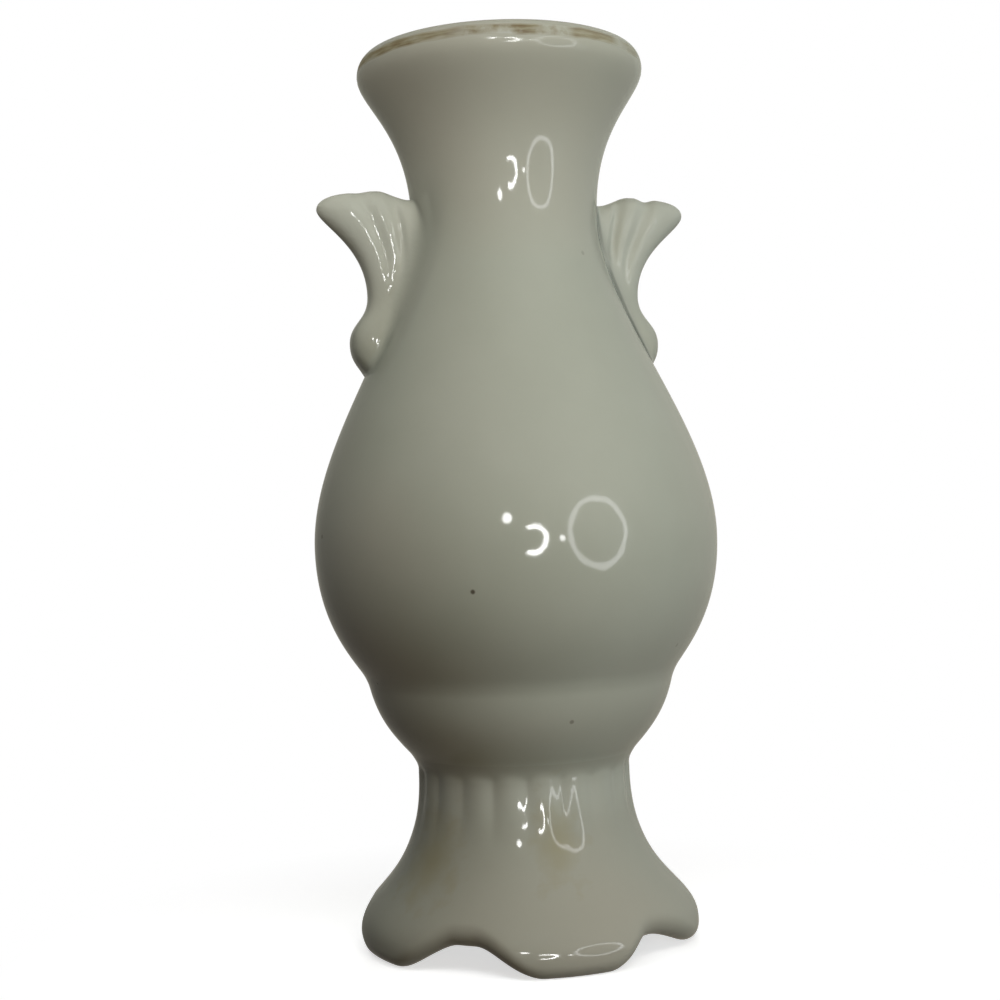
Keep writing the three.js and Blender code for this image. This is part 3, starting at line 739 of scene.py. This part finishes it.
def handle_points(raised, trimmed, dip, depth):
    """Points of a handle over levels from its bottom to its top and round its section."""
    up = ((1.0 - np.cos(np.linspace(0.0, math.pi, HANDLE_LEVELS))) / 2.0)[:, None]
    turn = np.linspace(-1.0, 1.0, HANDLE_ROUND)[None, :]
    out = 1.0 - np.abs(turn) ** SECTION_CROWDING
    side = np.sign(turn) * (1.0 - out**SECTION_SQUARENESS) ** (1.0 / SECTION_SQUARENESS)
    root_height = root_point[1] + (crown_root[1] - root_point[1]) * up
    root = stand_off(root_height, -ROOT_DEPTH)
    rim = np.stack([np.interp(up, edge_run, edge[:, 0]), np.interp(up, edge_run, edge[:, 1])], axis=-1)
    inner_end, outer_end = handle_top(0.0 * out, dip), handle_top(0.0 * out + 1.0, dip)
    chord = inner_end * (1 - out)[..., None] + outer_end * out[..., None]
    bulge = (handle_top(out, dip) - chord) * (up**CROWN_FADE)[..., None]
    middle = root * (1 - out)[..., None] + rim * out[..., None] + bulge
    bead_share = smooth(1.0 - np.abs(up - bead_place) / (scroll_place - bead_place))
    shell_share = smooth((up - scroll_place) / (1.0 - scroll_place))
    radius = middle[..., 0] - trimmed * (1.0 - TIP_SPARED * shell_share)
    height = middle[..., 1] + raised
    flat = SCROLL_THICKNESS + (SHELL_THICKNESS - SCROLL_THICKNESS) * shell_share
    thick = flat + (BEAD_THICKNESS - flat) * bead_share
    ribbed = smooth((up - scroll_place) / RIB_FADE)
    waves = 0.5 + 0.5 * np.cos(2.0 * math.pi * np.interp(out, RIB_PLACES, RIB_PHASES))
    end = (1.0 - np.abs(2.0 * up - 1.0) ** END_FLATNESS) ** END_POWER
    drawn_in = 1.0 - BEAD_NECKING * bead_share * (1.0 - smooth(out / BEAD_MIDDLE))
    half = end * (thick / 2 * drawn_in - depth * ribbed * waves**GROOVE_POWER)
    clear = np.hypot(radius, half) - outer_radius(height)
    fillet = ROOT_FILLET + (BEAD_FILLET - ROOT_FILLET) * bead_share
    sunk = np.clip(fillet - clear, 0.0, fillet)
    faded = end * smooth((1.0 - up) / FILLET_FADE)
    flare = fillet * (sunk / fillet) ** FILLET_POWER * faded
    width = np.abs(side) * half + flare
    radius = np.sqrt(radius**2 + half**2 - (half + flare) ** 2)
    return np.stack([radius, np.sign(side) * width, height], axis=-1)


def pool_shade_most(x):
    """The largest share of painted shade with pooled glaze, which is less at the right handle."""
    return np.where(x < 0.0, POOL_SHADE_SHARE, POOL_SHADE_SHARE_RIGHT)


def joint_pool_shade(x, y, z):
    """Share of painted shade, with pooled glaze, on a handle, which dies away from the body."""
    return pool_shade_most(x) * smooth(1.0 - (np.hypot(x, y) - outer_radius(z)) / POOL_SHADE_REACH)


def shoulder_pool_shade(x, y, z):
    """Share of painted shade, with pooled glaze, on the body beside the handles, which dies away from their
    roots.
    """
    joint = SCROLL_THICKNESS / 2 + ROOT_FILLET
    beside = smooth(1.0 - (np.abs(y) - joint) / POOL_SHADE_SPREAD)
    rising = smooth((z - HANDLE_BOTTOM + POOL_SHADE_SPREAD) / (2 * POOL_SHADE_SPREAD))
    falling = smooth((TIP[1] + CROWN + POOL_SHADE_SPREAD - z) / (2 * POOL_SHADE_SPREAD))
    return pool_shade_most(x) * beside * rising * falling


def melt_joint(piece):
    """Turns a handle's shading normals to the body's where it meets it, as the glaze rounds the joint."""
    places = np.array([vertex.co for vertex in piece.data.vertices]) / MM
    own = np.array([vertex.normal for vertex in piece.data.vertices])
    far = np.hypot(places[:, 0], places[:, 1])
    slope = outer_radius(places[:, 2] + SLOPE_STEP) - outer_radius(places[:, 2] - SLOPE_STEP)
    leaning = -slope / (2 * SLOPE_STEP)
    under = np.stack([places[:, 0] / far, places[:, 1] / far, leaning], axis=1)
    under /= np.linalg.norm(under, axis=1)[:, None]
    near = smooth(1.0 - (far - outer_radius(places[:, 2])) / MELT_REACH)[:, None]
    piece.data.normals_split_custom_set_from_vertices((own * (1 - near) + under * near).tolist())


# Glazed porcelain of the handles: the same glaze, with small ripples left by the pressing, painted light
# that makes the shell paler, and painted shade, with glaze pooled there too, at the joint. The eye gets a
# paler shell with broken glints that darkens towards the body.
SHELL_RIPPLE_SIZE = 2.2
SHELL_RIPPLE_HEIGHT = 0.08
SHELL_LIGHTENING = 0.6
LIGHTENING_LOW = SCROLL[1] - 2.0
LIGHTENING_HIGH = SCROLL[1] + 5.0
shell_glaze, tree, shader, glaze_colour, mm = porcelain(
    "glazed_porcelain_of_the_handles", SHELL_RIPPLE_SIZE, SHELL_RIPPLE_HEIGHT
)
rise = add(tree, "ShaderNodeSeparateXYZ", {0: mm}).outputs["Z"]
# Painted light: the shell is made paler above the scroll, less so where painted shade lies at the joint
shell_rise = {"Value": rise, 1: LIGHTENING_LOW, 2: LIGHTENING_HIGH, 4: SHELL_LIGHTENING}
lit_shell = add(tree, "ShaderNodeMapRange", shell_rise, interpolation_type="SMOOTHSTEP").outputs[0]
pool_and_shade = add(tree, "ShaderNodeAttribute", attribute_name="pool_and_shade").outputs["Fac"]
off_joint = add(tree, "ShaderNodeMapRange", {"Value": pool_and_shade, 2: POOL_SHADE_SHARE, 3: 1.0, 4: 0.0}).outputs[0]
thin = add(tree, "ShaderNodeMath", {0: lit_shell, 1: off_joint}, operation="MULTIPLY").outputs[0]
lightened = {"Factor": thin, 6: glaze_colour, 7: linear(GLAZE_PAINTED_LIGHT)}
shell_colour = add(tree, "ShaderNodeMix", lightened, data_type="RGBA").outputs[2]
tree.links.new(shell_colour, shader.inputs["Base Color"])
# Painted shade on the body beside the handles
keep_pool_and_shade(body, shoulder_pool_shade)

# Each handle's side of the vase as a sign of X, how far it was raised and trimmed when it was stuck on, and
# how deep its top dips between the ribs and its grooves are
HANDLES = {
    "handle_left": (-1, 0.2, 0.0, 0.1, 0.42),
    "handle_right": (1, -0.45, 0.75, 0.4, 0.65),
}
for node, (side, raised, trimmed, dip, depth) in HANDLES.items():
    points = handle_points(raised, trimmed, dip, depth)
    points[..., 0] *= side
    handle = grid_piece("shell_" + node, points, False, True)
    # Painted shade on the handle near the body
    keep_pool_and_shade(handle, joint_pool_shade)
    melt_joint(handle)
    handle.data.materials.append(shell_glaze)
    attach(handle, "root")
    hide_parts(node)

# Camera
# It stands at the photograph's place: a little to the left of the front, level with the belly, close enough
# for the vase to fill the frame, and leaning so that the vase tips to the left.
CAMERA_TURN = math.radians(-13.8)
CAMERA_DISTANCE = 240.7
CAMERA_HEIGHT = 61.9
AIM_ASIDE = -2.07
AIM_HEIGHT = 63.4
CAMERA_LEAN = math.radians(-2.05)
SENSOR_WIDTH = 36.0
FOCAL_SHARE = 1.65
NEAREST = 10.0
to_camera = Vector((math.sin(CAMERA_TURN), -math.cos(CAMERA_TURN), 0.0))
to_right = Vector((math.cos(CAMERA_TURN), math.sin(CAMERA_TURN), 0.0))
lens = bpy.data.cameras.new("camera")
lens.sensor_width = SENSOR_WIDTH
lens.lens = FOCAL_SHARE * SENSOR_WIDTH
lens.clip_start = NEAREST * MM
camera = bpy.data.objects.new("camera", lens)
bpy.context.scene.collection.objects.link(camera)
eye = to_camera * CAMERA_DISTANCE * MM + Vector((0.0, 0.0, CAMERA_HEIGHT * MM))
aim = to_right * AIM_ASIDE * MM + Vector((0.0, 0.0, AIM_HEIGHT * MM))
looking = (aim - eye).to_track_quat("-Z", "Y").to_matrix().to_4x4()
camera.matrix_world = Matrix.Translation(eye) @ looking @ Matrix.Rotation(CAMERA_LEAN, 4, "Z")
bpy.context.scene.camera = camera

# Floor and surroundings
# A plain white floor and an even white surround. What looks at them sees white, with the vase's shadow on
# the floor round its foot, and the light that they throw back on the vase is dim and warm.
WHITE = "#ffffff"
FLOOR_WHITE = "#f3f3f3"
FLOOR_SIZE = 6000.0
FLOOR_GLOW = 0.62
FLOOR_BOUNCE = "#4a4034"
SHADOW_NEAR = 32.0
SHADOW_FAR = 75.0
ROOM_LIGHT = "#d8c8ae"
ROOM_LEVEL = 0.01


def stage_piece(name, points, faces, material):
    """A thing of the stage, from points in millimetres."""
    mesh = bpy.data.meshes.new(name)
    mesh.from_pydata((np.array(points) * MM).tolist(), [], faces)
    mesh.materials.append(material)
    piece = bpy.data.objects.new(name, mesh)
    bpy.context.scene.collection.objects.link(piece)
    piece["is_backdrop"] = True
    return piece


def blank_material(name):
    """A material without nodes; returns it with its tree."""
    material = bpy.data.materials.new(name)
    material.use_nodes = True
    material.node_tree.nodes.clear()
    return material, material.node_tree


def seen(tree):
    """1 for rays that show a thing by sight, in a mirror or through glass, 0 for light that it throws."""
    path = add(tree, "ShaderNodeLightPath").outputs
    straight = {0: path["Is Camera Ray"], 1: path["Is Glossy Ray"]}
    shown = add(tree, "ShaderNodeMath", straight, operation="MAXIMUM").outputs[0]
    through = {0: shown, 1: path["Is Transmission Ray"]}
    return add(tree, "ShaderNodeMath", through, operation="MAXIMUM").outputs[0]


pale, tree = blank_material("pale_floor")
white = add(tree, "ShaderNodeBsdfDiffuse", {"Color": linear(FLOOR_WHITE)}).outputs[0]
glow = add(tree, "ShaderNodeEmission", {"Strength": FLOOR_GLOW}).outputs[0]
near = add(tree, "ShaderNodeAddShader", {0: white, 1: glow}).outputs[0]
far = add(tree, "ShaderNodeEmission", {"Strength": 1.0}).outputs[0]
spot = add(tree, "ShaderNodeTexCoord").outputs["Object"]
spread = add(tree, "ShaderNodeVectorMath", {0: spot}, operation="LENGTH").outputs["Value"]
clearing = {"Value": spread, 1: SHADOW_NEAR * MM, 2: SHADOW_FAR * MM}
away = add(tree, "ShaderNodeMapRange", clearing).outputs[0]
shown = add(tree, "ShaderNodeMixShader", {0: away, 1: near, 2: far}).outputs[0]
dim = add(tree, "ShaderNodeBsdfDiffuse", {"Color": linear(FLOOR_BOUNCE)}).outputs[0]
laid = add(tree, "ShaderNodeMixShader", {0: seen(tree), 1: dim, 2: shown}).outputs[0]
add(tree, "ShaderNodeOutputMaterial", {"Surface": laid})
half_floor = FLOOR_SIZE / 2
corners = [(x * half_floor, y * half_floor, 0.0) for x, y in ((-1, -1), (1, -1), (1, 1), (-1, 1))]
floor = stage_piece("floor", corners, [(0, 1, 2, 3)], pale)
floor.visible_glossy = False

surround = bpy.data.worlds.new("surround")
bpy.context.scene.world = surround
surround.use_nodes = True
tree = surround.node_tree
tree.nodes.clear()
room = add(tree, "ShaderNodeBackground", {"Color": linear(ROOM_LIGHT), "Strength": ROOM_LEVEL}).outputs[0]
blank = add(tree, "ShaderNodeBackground", {"Color": linear(WHITE), "Strength": 1.0}).outputs[0]
around = add(tree, "ShaderNodeMixShader", {0: seen(tree), 1: room, 2: blank}).outputs[0]
add(tree, "ShaderNodeOutputWorld", {"Surface": around})

# Dim room
# A shell round the stage that the camera doesn't see and that stops no lamp. The glaze mirrors it, so the
# vase keeps its outline against the white: grey low on the left and warm low on the right, as off a table,
# dark high on the left and pale high on the right, as from a window.
ROOM_RADIUS = 1500.0
ROOM_BLEND = 0.6
ROOM_SEGMENTS = 48
ROOM_LEVELS = 25
LOW_LEFT = "#605f5e"
LOW_RIGHT = "#ada593"
HIGH_LEFT = "#2c2b29"
HIGH_RIGHT = "#f4f5e4"
dim_room, tree = blank_material("dim_room")
spot = add(tree, "ShaderNodeTexCoord").outputs["Object"]
aside = add(tree, "ShaderNodeVectorMath", {0: spot, 1: to_right}, operation="DOT_PRODUCT").outputs["Value"]
half_room = ROOM_RADIUS * MM
right = add(tree, "ShaderNodeMapRange", {"Value": aside, 1: -half_room, 2: half_room}).outputs[0]
high = add(tree, "ShaderNodeSeparateXYZ", {0: spot}).outputs["Z"]
blend = ROOM_BLEND * half_room
climb = {"Value": high, 1: -blend, 2: blend}
up = add(tree, "ShaderNodeMapRange", climb, interpolation_type="SMOOTHSTEP").outputs[0]
low_tones = {"Factor": right, 6: linear(LOW_LEFT), 7: linear(LOW_RIGHT)}
lows = add(tree, "ShaderNodeMix", low_tones, data_type="RGBA").outputs[2]
high_tones = {"Factor": right, 6: linear(HIGH_LEFT), 7: linear(HIGH_RIGHT)}
highs = add(tree, "ShaderNodeMix", high_tones, data_type="RGBA").outputs[2]
room_tones = {"Factor": up, 6: lows, 7: highs}
room_tone = add(tree, "ShaderNodeMix", room_tones, data_type="RGBA").outputs[2]
tone = add(tree, "ShaderNodeEmission", {"Color": room_tone}).outputs[0]
add(tree, "ShaderNodeOutputMaterial", {"Surface": tone})
room_angles = np.linspace(0.0, 2 * math.pi, ROOM_SEGMENTS, endpoint=False)
room_section = arc((0.0, 0.0), (ROOM_RADIUS, ROOM_RADIUS), -90, 90, ROOM_LEVELS)
room_points = turned(room_section[None], room_angles).reshape(-1, 3)
room_faces = grid_faces(ROOM_SEGMENTS, ROOM_LEVELS, True, False)
room_shell = stage_piece("dim_room", room_points, room_faces, dim_room)
room_shell.visible_camera = False
room_shell.visible_shadow = False
room_shell.visible_diffuse = False

# Lamps
# Soft lamps light the vase and show in no reflection: low ones at the right and the front, a small one by
# the neck, three above the front and one behind. The glaze mirrors bare rings, as a thin loop, a broken ring
# and dots, which light nothing.
RING_POINTS = 73


def lamp_place(bearing, distance, height):
    """A lamp's place by its bearing from the camera's, its distance from the axis and its height, in mm."""
    a = math.radians(bearing)
    outward = to_camera * math.cos(a) + to_right * math.sin(a)
    return outward * distance * MM + Vector((0.0, 0.0, height * MM))


def lamp_matrix(place, aim_height):
    """Sets a lamp at its place, looking at a height on the axis, in mm."""
    facing = (Vector((0.0, 0.0, aim_height * MM)) - place).to_track_quat("-Z", "Y").to_matrix().to_4x4()
    return Matrix.Translation(place) @ facing


def soft_lamp(name, bearing, distance, height, size, power, colour):
    """A square lamp that looks at the vase's middle and shows in no reflection."""
    light = bpy.data.lights.new(name, "AREA")
    light.size = size * MM
    light.energy = power
    light.color = linear(colour)[:3]
    lamp = bpy.data.objects.new(name, light)
    bpy.context.scene.collection.objects.link(lamp)
    lamp.matrix_world = lamp_matrix(lamp_place(bearing, distance, height), HEIGHT / 2)
    lamp.visible_glossy = False
    lamp.visible_camera = False


def ring_lamp(name, bearing, distance, height, outer, inner, start, end, strength):
    """A flat glowing ring or part of one, between two angles seen from the vase, that looks at the axis."""
    a = np.radians(np.linspace(start, end, RING_POINTS))
    rim = np.stack([np.cos(a), np.sin(a), 0 * a], axis=1)
    points = np.concatenate([rim * outer, rim * inner])
    faces = [(i, i + 1, RING_POINTS + i + 1, RING_POINTS + i) for i in range(RING_POINTS - 1)]
    glowing, tree = blank_material(name)
    glow = add(tree, "ShaderNodeEmission", {"Strength": strength}).outputs[0]
    add(tree, "ShaderNodeOutputMaterial", {"Surface": glow})
    lamp = stage_piece(name, points, faces, glowing)
    lamp.data.transform(lamp_matrix(lamp_place(bearing, distance, height), height))
    lamp.visible_camera = False
    lamp.visible_diffuse = False


# Bearing to the right of the camera in degrees, distance, height and size in mm, power in watts and colour
SOFT_LAMPS = {
    "low_right_lamp": (60.0, 300.0, 20.0, 150.0, 0.52, "#e3f4ff"),
    "low_front_lamp": (12.0, 220.0, 40.0, 120.0, 0.108, "#fff0de"),
    "neck_lamp": (-80.0, 60.0, 125.0, 40.0, 0.0038, "#fff4e6"),
    "left_lamp": (-42.0, 120.0, 180.0, 80.0, 0.05, "#f8fcff"),
    "front_lamp": (2.0, 160.0, 200.0, 100.0, 0.099, "#fafdff"),
    "right_lamp": (30.0, 160.0, 190.0, 100.0, 0.1, "#fffaf4"),
    "back_lamp": (180.0, 600.0, 70.0, 200.0, 4.5, WHITE),
}

# Bearing in degrees, distance, height, outer and inner radius in mm, first and last angle, and brightness
RING_LAMPS = {
    "loop_lamp": (45.0, 450.0, 95.0, 140.0, 116.0, 0.0, 360.0, 5.0),
    "broken_ring_lamp": (9.5, 600.0, 80.0, 84.0, 58.0, -118.0, 118.0, 28.0),
    "upper_dot_lamp": (-4.0, 400.0, 160.0, 20.0, 0.5, 0.0, 360.0, 22.0),
    "small_dot_lamp": (25.0, 600.0, 78.0, 14.0, 0.5, 0.0, 360.0, 20.0),
}
for name, sizes in SOFT_LAMPS.items():
    soft_lamp(name, *sizes)
for name, sizes in RING_LAMPS.items():
    ring_lamp(name, *sizes)

bpy.context.scene.view_settings.view_transform = "Standard"
sizes = {"cad": [list(c) for c in cad_box], "visual": [list(c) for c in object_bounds()]}
